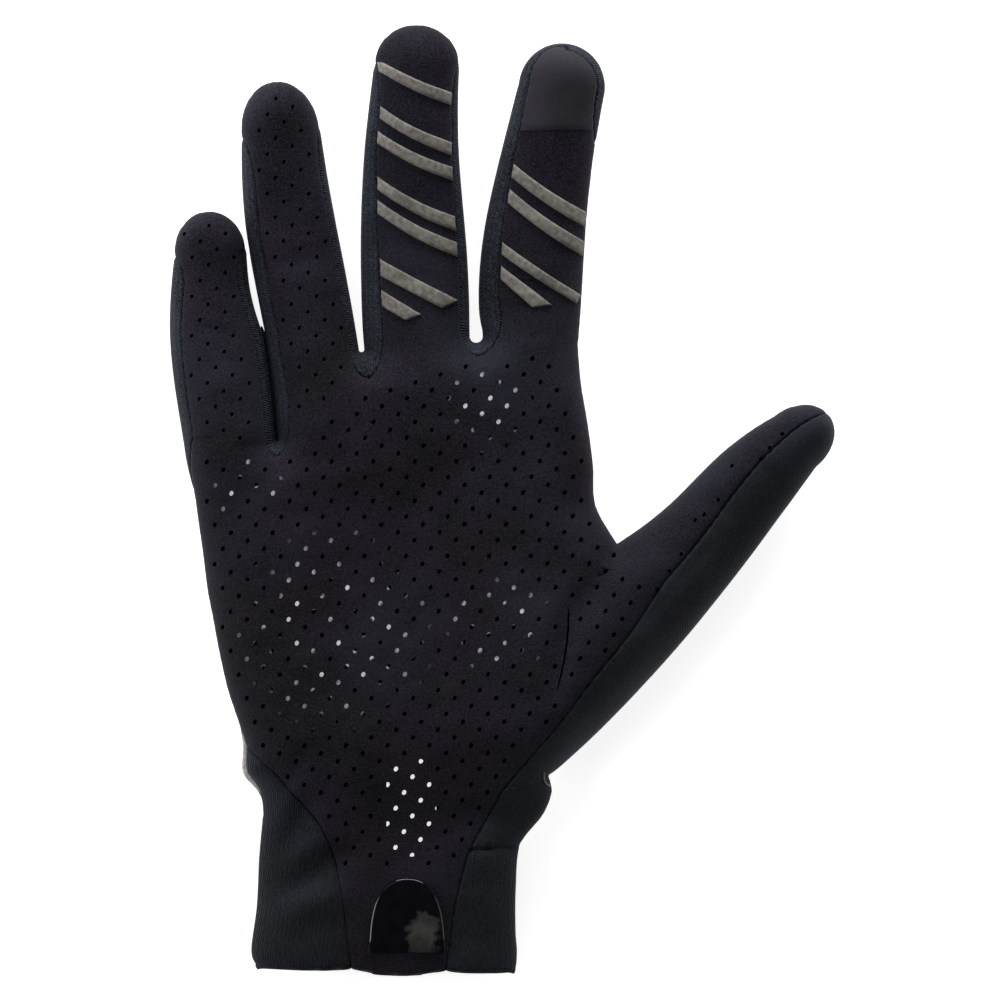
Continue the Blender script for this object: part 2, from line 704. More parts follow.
thumb_corner = thumb_seam(np.array(0.0))
right_seam_points = np.vstack([
    thumb_corner,
    on_palm([[0.581, 0.342], [0.494, 0.244], [0.4235, 0.158], [0.353, 0.08], [0.283, 0.002]]),
    on_cuff([
        [0.421, 0.929], [0.379, 0.826], [0.321, 0.68], [0.275, 0.457], [0.248, 0.239],
        [0.237, 0.13], [0.229, 0.033],
    ]),
])
left_edge = lambda row: through(left_points, row)
right_edge = lambda row: through(right_points, row)
right_cuff_edge = lambda row: through(right_cuff_points, np.asarray(row) - 11)
left_seam = lambda row: through(left_seam_points, np.asarray(row) - 10)
right_seam = lambda row: through(right_seam_points, np.asarray(row) - 6)
hidden_seam = lambda row: between(
    thumb_crotch, notch, np.interp(row, [5, 7, 8, 9, 10, 11], [0, 0.07, 0.33, 0.67, 0.93, 1])
)
thumb_edge = lambda row: thumb.rail(
    "right", np.interp(row, [6, 7, 8, 9, 10, 11], [thumb_root, 0.335, 0.245, 0.135, 0.045, 0])
)


def pick_rows(row, parts):
    """Takes each row from the curve whose stretch it falls in: (last row, curve) pairs."""
    result = np.zeros((len(row), 2))
    low = -1.0
    for last, curve in parts:
        chosen = (row > low) & (row <= last)
        if chosen.any():
            result[chosen] = curve(row[chosen])
        low = last
    return result


def pinky_foot(seams):
    """Where the little finger's seam runs out to the edge, over the first two rows."""
    start = inset(pinky, seams, "left", 0.0) * pinky.inward("left", 0.0)
    return lambda row: left_edge(row) + start * (np.maximum(1 - row / 2, 0) ** 1.6)[:, None]


strip_steps = 16
strip_shares = cosine(strip_steps)


def hand_grid(top, lefts, rights, row):
    """The part under the fingers: rows straight from left to right, onto which the steps of the
    top row fade out."""
    share = (top[:, 0] - top[0, 0]) / (top[-1, 0] - top[0, 0])
    steps = top - between(top[0], top[-1], share)
    fade = np.maximum(1 - row / 7, 0) ** 2
    return rows_between(lefts, rights, share) + fade[:, None, None] * steps[None]


def sag(grid, row, amount):
    """The hem dips between its two ends, over the last row."""
    share = np.linspace(0, 1, grid.shape[1])
    down = amount * np.clip(row - 17, 0, 1)[:, None] ** 2 * 4 * share * (1 - share)
    return grid - np.stack([np.zeros_like(down), down], -1)


# %% [markdown]
# ## The palm
# On the real glove the palm, the fronts of the fingers, the inner side of the thumb and the
# tongue on the cuff are one piece of perforated synthetic suede. It could be several meshes, but
# one closed sheet keeps its edges whole, so the holes can be punched through it in one go.

# %% Palm sheet
palm_rows = np.r_[
    np.linspace(0, 5, 31), 5 + np.linspace(0, 1, strip_steps + 1)[1:], np.linspace(6, 18, 97)[1:]]
crotches = [None, pinky_ring, ring_middle, middle_index, None]
fingers = [pinky, ring, middle, index]


def four_fingers(seams, columns):
    """The grids of all four fingers, on the front or the back."""
    return [
        finger_grid(finger, seams, crotches[i], crotches[i + 1], columns)
        for i, finger in enumerate(fingers)
    ]


def top_row(grids):
    """The feet of the four finger grids as one line."""
    return np.vstack([grid[0] if i == 0 else grid[0][1:] for i, grid in enumerate(grids)])


palm_fingers = four_fingers(front_seams, cosine(20))
palm_lefts = pick_rows(palm_rows, [(2, pinky_foot(front_seams)), (10, left_edge), (18, left_seam)])
palm_rights = pick_rows(palm_rows, [
    (5, right_edge),
    (6, lambda row: between(thumb_crotch, thumb_corner, (1 - np.cos(np.pi * (row - 5))) / 2)),
    (18, right_seam),
])
palm_hand = sag(hand_grid(top_row(palm_fingers), palm_lefts, palm_rights, palm_rows), palm_rows, hem_sag)
thumb_places = np.r_[np.linspace(0, 1, 38), 1 + np.linspace(0, 1, 15)[1:]]
palm_thumb = rows_between(thumb.rail("left", thumb_places), thumb_seam(thumb_places), strip_shares)
palm = sheet(
    "palm", [(palm_hand, 1), (palm_thumb, 1)] + [(grid, 1) for grid in palm_fingers], suede_wall,
)

# %% Perforations
# The holes stand on a nearly square grid turned on the palm. They cover the palm, the fronts of
# the little and the ring finger and the foot of the thumb, and a few run up the thumb.
hole_start = on_palm([0.062, 0.033])[0]
hole_steps = np.array([[4.125, -1.95], [-2.1, -3.925]])
hole_size, finger_hole_size, hole_sides = 1.2, 1.0, 8
hole_stretch, hole_slant = 1.3, math.radians(62)
palm_margin, finger_margin, tab_margin, dart_margin = 2.2, 1.7, 2.5, 1.5
level_floor = 0.2  # holes keep off the steep skin near the outline


def inside(points, line):
    """Whether each place lies inside a closed line, by the number of sides left of it."""
    a, b = line, np.roll(line, -1, axis=0)
    x, y = points[:, 0][:, None], points[:, 1][:, None]
    crosses = (a[:, 1] > y) != (b[:, 1] > y)
    drop = np.where(b[:, 1] == a[:, 1], 1, b[:, 1] - a[:, 1])
    at = a[:, 0] + (y - a[:, 1]) * (b[:, 0] - a[:, 0]) / drop
    return (crosses & (x < at)).sum(1) % 2 == 1


def line_round(grid):
    """The border of a grid as one closed line."""
    return np.vstack([grid[0], grid[1:, -1], grid[-1, ::-1][1:], grid[::-1, 0][1:-1]])


steps = np.stack(np.meshgrid(np.arange(-40, 41), np.arange(-50, 51)), -1).reshape(-1, 2)
lattice = hole_start + steps @ hole_steps


def holes_in(grid, margin, size, top=None):
    """The grid places that lie in a panel's grid, at least margin from its border."""
    line = line_round(grid)
    chosen = lattice[inside(lattice, line)]
    distance, _, roll = nearest_edge(chosen)
    gap = np.linalg.norm(chosen[:, None] - line[None], axis=2).min(1)
    kept = (gap > margin) & (distance > level_floor * roll)
    if top is not None:
        kept &= top(chosen)
    return np.c_[chosen[kept], np.full(kept.sum(), size)]


tab_middle = tab_foot + (0, tab_height / 2)
palm_top = on_palm([0, 1.0])[0, 1]


def palm_area(places):
    """Below the fingers, and clear of the pull tab."""
    beside_tab = np.abs(places - tab_middle).max(1) > tab_height / 2 + tab_margin
    above_tab = places[:, 1] > tab_foot[1] + tab_height
    index_side = places[:, 0] < on_palm([0.36, 0])[0, 0] + (palm_top - places[:, 1]) * 0.6
    return beside_tab & above_tab & (places[:, 1] < palm_top) & index_side & off_dart(places)


thumb_holes = on_palm([
    [0.953, 0.79], [0.923, 0.76], [0.901, 0.735], [0.833, 0.72], [0.8, 0.645], [0.766, 0.613],
    [0.744, 0.6], [0.71, 0.525], [0.681, 0.488], [0.652, 0.447],
])
dart_top, dart_foot = on_palm([0.439, 0.409])[0], on_palm([0.409, 0.22])[0]
dart_run = np.linspace(0, 1, 25)
dart_side = np.array([dart_top[1] - dart_foot[1], dart_foot[0] - dart_top[0]])
dart_side /= np.linalg.norm(dart_side)
dart_gape, dart_bow = 0.24, 0.8
dart_half = dart_gape * np.sqrt(np.clip(1 - (2 * dart_run - 1) ** 4, 0, 1))
dart_out = dart_bow * np.sin(np.pi * dart_run)
dart_middle = between(dart_top, dart_foot, dart_run) + dart_side * dart_out[:, None]
dart_line = np.vstack([
    dart_middle + dart_side * dart_half[:, None],
    (dart_middle - dart_side * dart_half[:, None])[::-1][1:-1],
])


def off_dart(places):
    """Holes stay clear of the dart."""
    return np.linalg.norm(places[:, None] - dart_middle[None], axis=2).min(1) > dart_margin


holes = np.vstack([
    holes_in(palm_hand, palm_margin, hole_size, palm_area),
    holes_in(palm_fingers[0], finger_margin, finger_hole_size),
    holes_in(palm_fingers[1], finger_margin, finger_hole_size),
    np.c_[thumb_holes, np.full(len(thumb_holes), finger_hole_size)],
])
print(len(holes), "perforations")


def slanted_ovals(places, sizes):
    """An eight-sided, slanted oval round each place."""
    turn = np.linspace(0, 2 * np.pi, hole_sides, endpoint=False)
    long, short = math.sqrt(hole_stretch) * np.cos(turn), np.sin(turn) / math.sqrt(hole_stretch)
    c, s = math.cos(hole_slant), math.sin(hole_slant)
    ring = np.c_[c * long - s * short, s * long + c * short]
    return places[:, None] + ring[None] * sizes[:, None, None] / 2


def prisms(name, rings, low, high):
    """Upright prisms over closed rings of equally many corners, all in one mesh."""
    count, each = rings.shape[:2]
    bottom, top = (np.dstack([rings, np.full((count, each), level)]) for level in (low, high))
    step = np.arange(each)
    following = (step + 1) % each
    walls = np.stack([step, following, following + each, step + each], 1)
    start = np.arange(count) * 2 * each
    faces = (start[:, None, None] + walls).reshape(-1, 4).tolist()
    faces += (start[:, None] + step[::-1]).tolist() + (start[:, None] + step + each).tolist()
    return to_mesh(name, np.concatenate([bottom, top], 1).reshape(-1, 3), faces)


def punch(piece, *cutters):
    """Cuts the cutters out of a piece and keeps the result as its mesh."""
    for cutter in cutters:
        cut = piece.modifiers.new("cut", "BOOLEAN")
        cut.operation, cut.solver, cut.object = "DIFFERENCE", "MANIFOLD", cutter
    bpy.context.view_layer.update()
    done = bpy.data.meshes.new_from_object(piece.evaluated_get(bpy.context.evaluated_depsgraph_get()))
    piece.modifiers.clear()
    piece.data = done
    for cutter in cutters:
        bpy.data.objects.remove(cutter)
    print(piece.name, len(done.polygons), "faces after cutting")


front_only = edge_height + 1.5
above_all = front_only + 30
punch(
    palm,
    prisms("holes", slanted_ovals(holes[:, :2], holes[:, 2]), front_only, above_all),
    prisms("dart", dart_line[::-1][None], front_only, above_all),
)

# %% [markdown]
# ## Back, cuff and the strips between the fingers
# The back is a light mesh. The cuff is a dark knit in two halves that meet in the middle of the
# back, under a long round-ended vent. Between the fingers run strips of ribbed knit, each from
# fingertip to crotch to fingertip, so that the fingers are boxes and not flat bags.

# %% Back sheet with the vent
back_rows = np.r_[np.linspace(0, 5, 26), np.linspace(5, 14, 55)[1:]]
back_fingers = four_fingers(back_seams, cosine(14))
back_lefts = pick_rows(back_rows, [(2, pinky_foot(back_seams)), (14, left_edge)])
back_rights = pick_rows(back_rows, [(5, right_edge), (11, hidden_seam), (14, right_cuff_edge)])
back_hand = hand_grid(top_row(back_fingers), back_lefts, back_rights, back_rows)
back = sheet("back", [(back_hand, -1)] + [(grid, -1) for grid in back_fingers], knit_wall, lined=True)

vent_width, vent_length = 12.5, 25.0
vent_middle = on_cuff([0.09, 0.9])[0]


def vent_cutter():
    """A long round-ended prism through the back alone."""
    turn = np.linspace(0, np.pi, 17)
    arc = vent_width / 2 * np.c_[np.cos(turn), np.sin(turn)]
    straight = vent_length / 2 - vent_width / 2
    line = np.vstack([arc + (0, straight), -arc - (0, straight)]) + vent_middle
    return prisms("vent", line[None], -4.0, edge_height / 2)


punch(back, vent_cutter())

# %% Cuff sheets
split_share = 0.625
split_top = back_hand[-1][round(split_share * (back_hand.shape[1] - 1))]
split_foot = np.array([split_top[0], left_points[-1][1]])
cuff_rows = np.linspace(14, 18, 33)
cuff_shares = cosine(30)


def cuff_back(edge):
    """Back half of the cuff, from its side edge to the middle split."""
    down = (cuff_rows - 14) / 4
    split = between(split_top, split_foot, down)
    return sag(rows_between(edge(cuff_rows), split, cosine(22)), cuff_rows, hem_sag / 2)


left_front_rows = np.r_[np.linspace(10, 14, 33), cuff_rows[1:]]
cuff_left = sheet("cuff_left_knit", [
    (sag(rows_between(left_edge(left_front_rows), left_seam(left_front_rows), cuff_shares),
         left_front_rows, hem_sag / 2), 1),
    (cuff_back(left_edge), -1),
], knit_wall)
cuff_right = sheet("cuff_right_knit", [
    (sag(rows_between(right_cuff_edge(cuff_rows), right_seam(cuff_rows), cuff_shares),
         cuff_rows, hem_sag / 2), 1),
    (cuff_back(right_cuff_edge), -1),
], knit_wall)
for half in (cuff_left, cuff_right):
    punch(half, vent_cutter())

# %% Strips between the fingers
strip_columns = cosine(12)
straight_places = finger_places[finger_places <= 1]
tip_places = finger_places[finger_places > 1]


def strip(name, edges, fronts, backs):
    """A strip over the side edge: a front half and a back half that share the edge line."""
    return sheet(name, [
        (rows_between(edges, fronts, strip_columns), 1),
        (rows_between(edges, backs, strip_columns), -1),
    ], knit_wall, strip_seam_depth, strip_seam_width)


def side_lines(finger, side, places):
    """Edge, front seam and back seam of one side of a finger."""
    return [
        finger.rail(side, places), seam_spot(finger, front_seams, side, places),
        seam_spot(finger, back_seams, side, places),
    ]


def foot_lines(finger, side, crotch):
    """From the U below the crotch up to the first straight place."""
    edge, front, back_line = side_lines(finger, side, straight_places[:1])
    turn = np.pi / 2 * (1 - np.minimum(2 * climb, 1))
    centre = crotch.bottom + (0, crotch.slit / 2)
    hand = 1 if side == "left" else -1
    arc = centre + crotch.slit / 2 * np.c_[hand * np.cos(turn), -np.sin(turn)]
    rise = between(finger.rail(side, 0.0), edge[0], np.clip(2 * climb - 1, 0, 1))
    edges = np.where((2 * climb < 1)[:, None], arc, rise)
    return [edges, seam_foot(crotch, front[0]), seam_foot(crotch, back_line[0])]


def fourchette(name, left_finger, crotch, right_finger, tail=None):
    """Down the right side of one finger, through the crotch and up the left side of the next."""
    down = side_lines(left_finger, "right", straight_places[::-1])
    left_foot = foot_lines(left_finger, "right", crotch)
    right_foot = foot_lines(right_finger, "left", crotch)
    up = side_lines(right_finger, "left", straight_places)
    lines = []
    for k in range(3):
        parts = [down[k], left_foot[k][::-1], right_foot[k][1:], up[k]]
        if tail is not None:
            parts.append(tail[k])
        lines.append(np.vstack(parts))
    return strip(name, *lines)


round_index = [
    np.vstack(pair) for pair in zip(
        side_lines(index, "left", tip_places),
        side_lines(index, "right", np.r_[tip_places[::-1][1:], np.linspace(1, 0.8, 10)]),
    )
]
pinky_ring_strip = fourchette("strip_pinky_ring", pinky, pinky_ring, ring)
ring_middle_strip = fourchette("strip_ring_middle", ring, ring_middle, middle)
middle_index_strip = fourchette("strip_middle_index", middle, middle_index, index, round_index)

foot_rows = np.linspace(0, 2, 13)
pinky_side = [
    np.vstack([high, between(low[0], high[-1], climb[1:])[::-1], low]) for high, low in zip(
        side_lines(pinky, "left", straight_places[::-1]),
        [left_edge(foot_rows), pinky_foot(front_seams)(foot_rows), pinky_foot(back_seams)(foot_rows)],
    )
]
pinky_strip = strip("strip_pinky_side", *pinky_side)

# %% Side panel of the thumb
side_rows = np.linspace(6, 14, 65)[1:]
thumb_down = thumb_places[::-1]
panel_edges = np.vstack([
    thumb.rail("right", opposite(thumb_down)),
    pick_rows(side_rows, [(11, thumb_edge), (14, right_cuff_edge)]),
])
panel_seams = np.vstack([thumb_seam(thumb_down), right_seam(side_rows)])
upper_rows = side_rows[side_rows <= 11]
panel_backs = np.vstack([thumb.rail("left", thumb_down), hidden_seam(np.maximum(upper_rows, 6.0))])
thumb_panel = sheet("thumb_panel", [
    (rows_between(panel_edges, panel_seams, cosine(26)), 1),
    (rows_between(panel_edges[:len(panel_backs)], panel_backs, cosine(22)), -1),
], knit_wall)

# %% [markdown]
# ## What lies on the suede
# Silicone stripes are printed across two fingers for grip, a smooth patch covers the fingertip
# that works a screen, and a stiff glossy tab on the tongue helps to pull the glove on. Each is a
# thin piece laid on the skin, with a rounded rim, that follows the seams it meets.

# %% Build a piece that lies on the skin
foot_depth = 0.15  # how far its foot stands in the cloth
stripe_look = {"thick": 0.75, "rim": 0.6}
patch_look = {"thick": 0.4, "rim": 0.5}


def overlay(name, grid, side, host, thick, rim):
    """Its top lies at thick * (0.3 + 0.7 * quarter circle) above the skin of the host, where the
    quarter circle grows over the rim's width from the border."""
    outer, into, uv, faces = gather([(grid, side)])
    border = border_of(faces)
    down = seam_sink(outer, into, seams_of[host], seam_depth, seam_width)
    near = 1 - np.clip(distance_to_lines(outer, outer[border]) / rim, 0, 1)
    high = thick * (0.3 + 0.7 * np.sqrt(1 - near**2))
    top = outer + into * (down - high)[:, None]
    foot = outer + into * (down + foot_depth)[:, None]
    return shell(name, top, foot, faces, border, uv)


def across_finger(finger, left, right, columns, bend):
    """A line across a finger between a place on its left and one on its right seam."""
    share = (columns - columns[0]) / (columns[-1] - columns[0])
    place = left + (right - left) * share - bend * np.sin(np.pi * share)
    lefts = seam_spot(finger, front_seams, "left", place)
    rights = seam_spot(finger, front_seams, "right", place)
    return lefts * (1 - columns)[:, None] + rights * columns[:, None]


# Left end's top and bottom, right end's top and bottom, how far across the finger the top and
# the bottom line reach, and how far the stripe sags
middle_stripes = [
    [1.01, 0.97, 0.89, 0.844, 1, 1, 0.012], [0.85, 0.809, 0.709, 0.663, 1, 1, 0.012],
    [0.762, 0.72, 0.62, 0.571, 1, 1, 0.012], [0.603, 0.557, 0.44, 0.387, 1, 1, 0.012],
    [0.521, 0.472, 0.344, 0.291, 1, 1, 0.012], [0.312, 0.252, 0.131, 0.11, 0.98, 0.78, 0],
    [0.202, 0.145, 0.096, 0.082, 0.52, 0.32, 0],
]
index_stripes = [
    [0.683, 0.63, 0.523, 0.465, 1, 1, 0.01], [0.584, 0.53, 0.407, 0.349, 1, 1, 0.01],
    [0.37, 0.32, 0.194, 0.16, 1, 0.95, 0.006], [0.275, 0.221, 0.14, 0.12, 0.66, 0.42, 0],
]


def stripe(name, finger, row):
    """One stripe: 10 rows between its top and bottom lines, 44 columns across the finger."""
    left_top, left_bottom, right_top, right_bottom, reach_top, reach_bottom, bend = row
    high, low = (
        across_finger(finger, left, right, np.linspace(0.03, 0.97 * reach, 45), bend)
        for left, right, reach in (
            (left_top, right_top, reach_top), (left_bottom, right_bottom, reach_bottom))
    )
    grid = rows_between(high, low, cosine(10)).swapaxes(0, 1)
    return overlay(name, grid, 1, "palm", **stripe_look)


stripes = [stripe(f"stripe_middle_{i + 1}", middle, row) for i, row in enumerate(middle_stripes)]
stripes += [stripe(f"stripe_index_{i + 1}", index, row) for i, row in enumerate(index_stripes)]

thumb_columns = 0.06 + 0.88 * cosine(30)
stripe_ends = [
    rows_between(
        thumb.rail("left", np.array([inner])), thumb.rail("right", np.array([outer])), thumb_columns)[0]
    for inner, outer in ((0.9, opposite(0.86)), (0.78, opposite(0.74)))
]
thumb_grid = rows_between(*stripe_ends, cosine(10))
thumb_stripe = overlay("stripe_thumb", thumb_grid, -1, "thumb_panel", **stripe_look)

# %% Patch on the tip of the index finger
patch_left, patch_right = (
    np.r_[np.linspace(foot, 1, 14), 1 + np.linspace(0, 0.83, 14)[1:]] for foot in (0.813, 0.845)
)
patch_columns = 0.03 + 0.94 * cosine(26)
patch_grid = np.stack([
    across_finger(index, left, right, patch_columns, 0.0)
    for left, right in zip(patch_left, patch_right)
])
patch = overlay("patch_on_index", patch_grid, 1, "palm", **patch_look)

# %% Pull tab
tab_floor, tab_thick, tab_rim = 1000 * tab_box[0].z, 1.2, 0.55


def bezier(points, share):
    """A cubic Bezier curve."""
    p0, p1, p2, p3 = np.array(points, float)
    t = share[:, None]
    return (1 - t) ** 3 * p0 + 3 * (1 - t) ** 2 * t * p1 + 3 * (1 - t) * t**2 * p2 + t**3 * p3


arch_share = 1 - (1 - np.linspace(0, 1, 33)) ** 1.6
arch = bezier([
    (tab_width / 2, 0), (tab_width * 0.5, tab_height * 0.64),
    (tab_width * 0.37, tab_height), (0, tab_height),
], arch_share)
tab_grid = rows_between(arch * (-1, 1), arch, cosine(28)) + tab_foot


def make_tab():
    """A flat foot and a top that rises as half an ellipse from the rim, with a level middle."""
    rows, columns = tab_grid.shape[:2]
    ids = np.arange(rows * columns).reshape(rows, columns)
    ids[-1] = ids[-1, 0]
    used, faces = in_use(tidy_faces(quads_of(ids)))
    border = border_of(faces)
    foot = np.c_[tab_grid.reshape(-1, 2)[used], np.zeros(len(used))]
    near = 1 - np.clip(distance_to_lines(foot, foot[border]) / tab_rim, 0, 1)
    foot[:, 2] = tab_floor
    top = foot.copy()
    top[:, 2] += tab_thick * (0.45 + 0.55 * np.sqrt(1 - near**2))
    return shell("tab", top, foot, faces, border)


tab = make_tab()

# %% Light edge at the wrist, the thread at the notch and the fold in the slit
def tube(name, path, radii, flatten=1.0, sides=12):
    """A round section carried along a path, closed to a point at both ends. The section stands
    across the path; flatten squeezes it sideways in the plan."""
    run = np.gradient(path, axis=0)
    run /= np.linalg.norm(run, axis=1, keepdims=True)
    beside = np.cross(run, (0, 0, 1))
    beside /= np.linalg.norm(beside, axis=1, keepdims=True)
    above = np.cross(beside, run)
    turn = np.linspace(0, 2 * np.pi, sides, endpoint=False)
    rings = path[:, None] + radii[:, None, None] * (
        flatten * np.cos(turn)[None, :, None] * beside[:, None]
        + np.sin(turn)[None, :, None] * above[:, None])
    corners = np.vstack([path[:1], rings[1:-1].reshape(-1, 3), path[-1:]])
    around, next_around = np.arange(sides), np.roll(np.arange(sides), -1)
    faces = [[0, 1 + a, 1 + b] for a, b in zip(around, next_around)]
    for ring in range(len(path) - 3):
        low = 1 + ring * sides
        faces += [
            [low + b, low + a, low + sides + a, low + sides + b] for a, b in zip(around, next_around)]
    last = len(corners) - 1
    faces += [[last, last - sides + b, last - sides + a] for a, b in zip(around, next_around)]
    return to_mesh(name, corners, faces)


wrist_rows = np.linspace(9.2, 13.3, 60)
wrist_line = left_edge(wrist_rows)
wrist_swell = np.sin(np.pi * np.linspace(0, 1, 60)) ** 0.7
wrist_out = np.gradient(wrist_line, axis=0)
wrist_out /= np.linalg.norm(wrist_out, axis=1, keepdims=True)
wrist_side = np.c_[wrist_out[:, 1], -wrist_out[:, 0]]
wrist_line += wrist_side * (0.1 * wrist_swell)[:, None]
wrist_path = np.c_[wrist_line, np.full(60, edge_height - 2.0)]
wrist_edge = tube("wrist_edge", wrist_path, wrist_swell + 0.05)

loop_places = through(np.array([
    [39.1, 50.75], [39.0, 49.6], [39.15, 48.6], [39.6, 47.8], [40.5, 47.1],
]), np.linspace(0, 4, 33))
loop_skin, loop_into = skin(loop_places, 1)
thread_radius = 0.22
thread_loop = tube("thread_loop", loop_skin - loop_into * 0.1, np.full(33, thread_radius), sides=8)

# Where the little finger leans on the ring finger, the strip between them is pressed to a fold
fold_line = pinky.rail("right", np.linspace(0.0, 0.6, 60)) + (pinky_ring_slit / 2, 0)
fold_line = np.vstack([[pinky_ring.bottom - (0, 0.7)], fold_line])
fold_path = np.c_[fold_line, np.full(61, edge_height - 1.2)]
fold_radii = 1.3 * np.sin(np.pi * np.linspace(0.2, 1, 61)) ** 0.3
slit_fold = tube("slit_fold", fold_path, fold_radii, flatten=0.5)

# %% Smooth shading
for piece in bpy.context.scene.collection.objects:
    if piece.type != "MESH" or piece.name in frame["nodes"]:
        continue
    piece.data.shade_smooth()
    piece.data.set_sharp_from_angle(angle=math.radians(50))
    print(piece.name, len(piece.data.polygons), "faces")

# %% [markdown]
# ## Fabrics
# The fabrics are made of shader nodes, so no picture is needed. Two shared effects do most of the
# work: a cloth tone, which speckles and clouds a colour and gives a fine height, and ribs, which
# run at a slant to the strip's own length. Ribs read the UV map, which was measured along the
# panels in metres; everything else reads the place on the object.

# %% Node helpers and shared effects
def linear(r, g, b):
    """An sRGB colour in 0 to 255 as a linear one."""
    c = np.array([r, g, b]) / 255
    return (*np.where(c <= 0.04045, c / 12.92, ((c + 0.055) / 1.055) ** 2.4), 1.0)


def wire(tree, kind, inputs, **settings):
    """Adds a node, sets its properties, and links or fills its inputs."""
    node = tree.nodes.new("ShaderNode" + kind)
    for key, value in settings.items():
        setattr(node, key, value)
    for socket, value in inputs.items():
        if isinstance(value, bpy.types.NodeSocket):
            tree.links.new(value, node.inputs[socket])
        else:
            node.inputs[socket].default_value = value
    return node


def math_node(tree, operation, a, b=0.0):
    return wire(tree, "Math", {0: a, 1: b}, operation=operation).outputs[0]


def noise(tree, place, scale, detail):
    return wire(tree, "TexNoise", {"Vector": place, "Scale": scale, "Detail": detail}).outputs[0]


def stretch(tree, value, low, high, new_low=0.0, new_high=1.0):
    """Maps low to high onto new_low to new_high, and stops at both."""
    return wire(tree, "MapRange", {0: value, 1: low, 2: high, 3: new_low, 4: new_high}).outputs[0]


def mix(tree, share, a, b, blend="MIX"):
    """The colour a, and b by its share."""
    return wire(tree, "Mix", {0: share, 6: a, 7: b}, data_type="RGBA", blend_type=blend).outputs[2]


def effect(name, takes, gives):
    """An empty node group with its input node's outputs and its output node."""
    tree = bpy.data.node_groups.new(name, "ShaderNodeTree")
    for label, kind in takes:
        tree.interface.new_socket(label, in_out="INPUT", socket_type="NodeSocket" + kind)
    for label, kind in gives:
        tree.interface.new_socket(label, in_out="OUTPUT", socket_type="NodeSocket" + kind)
    return tree, tree.nodes.new("NodeGroupInput").outputs, tree.nodes.new("NodeGroupOutput")


tone, given, result = effect(
    "cloth_tone",
    [("Place", "Vector"), ("Fineness", "Float"), ("Clouds", "Float"), ("Cool", "Float"),
     ("Dark", "Color"), ("Light", "Color")],
    [("Color", "Color"), ("Height", "Float")],
)
fine = noise(tone, given["Place"], given["Fineness"], 3.0)
cloud = noise(tone, given["Place"], given["Clouds"], 2.0)
both = math_node(
    tone, "ADD", math_node(tone, "MULTIPLY", fine, 0.65), math_node(tone, "MULTIPLY", cloud, 0.35))
share = stretch(tone, both, 0.38, 0.63)
fade = stretch(tone, noise(tone, given["Place"], 28.0, 1.0), 0.42, 0.6)
fade = math_node(tone, "MULTIPLY", fade, given["Cool"])
cool_tint = (0.78, 1.04, 0.95, 1)
light = mix(tone, fade, given["Light"], mix(tone, 1.0, given["Light"], cool_tint, "MULTIPLY"))
speckled = mix(tone, share, given["Dark"], light)
upward = wire(tone, "SeparateXYZ", {0: given["Place"]}).outputs[1]
tipward = stretch(tone, upward, -0.01, 0.09, 0.72, 1.05)
colour = wire(tone, "VectorMath", {0: speckled, 3: tipward}, operation="SCALE").outputs[0]
tone.links.new(colour, result.inputs["Color"])
tone.links.new(fine, result.inputs["Height"])

ribs, given, result = effect(
    "ribs",
    [("UV", "Vector"), ("Pitch", "Float"), ("Slant", "Float"), ("Loop", "Float")],
    [("Height", "Float"), ("Groove", "Float")],
)
split = wire(ribs, "SeparateXYZ", {0: given["UV"]})
along = math_node(ribs, "MULTIPLY", split.outputs[0], 1000.0)
beside = math_node(ribs, "ABSOLUTE", math_node(ribs, "MULTIPLY", split.outputs[1], 1000.0))
slanted = math_node(ribs, "ADD", along, math_node(ribs, "MULTIPLY", beside, given["Slant"]))
turns = math_node(ribs, "DIVIDE", slanted, given["Pitch"])
wave = math_node(ribs, "SINE", math_node(ribs, "MULTIPLY", turns, 2 * math.pi))
loops = math_node(ribs, "DIVIDE", beside, given["Loop"])
loops = math_node(ribs, "SINE", math_node(ribs, "MULTIPLY", loops, 2 * math.pi))
raised = math_node(
    ribs, "ADD", math_node(ribs, "MULTIPLY", wave, 0.36), math_node(ribs, "MULTIPLY", loops, 0.14))
height = math_node(ribs, "ADD", raised, 0.5)
ribs.links.new(height, result.inputs["Height"])
groove = math_node(ribs, "POWER", math_node(ribs, "SUBTRACT", 1.0, height), 2.0)
ribs.links.new(groove, result.inputs["Groove"])


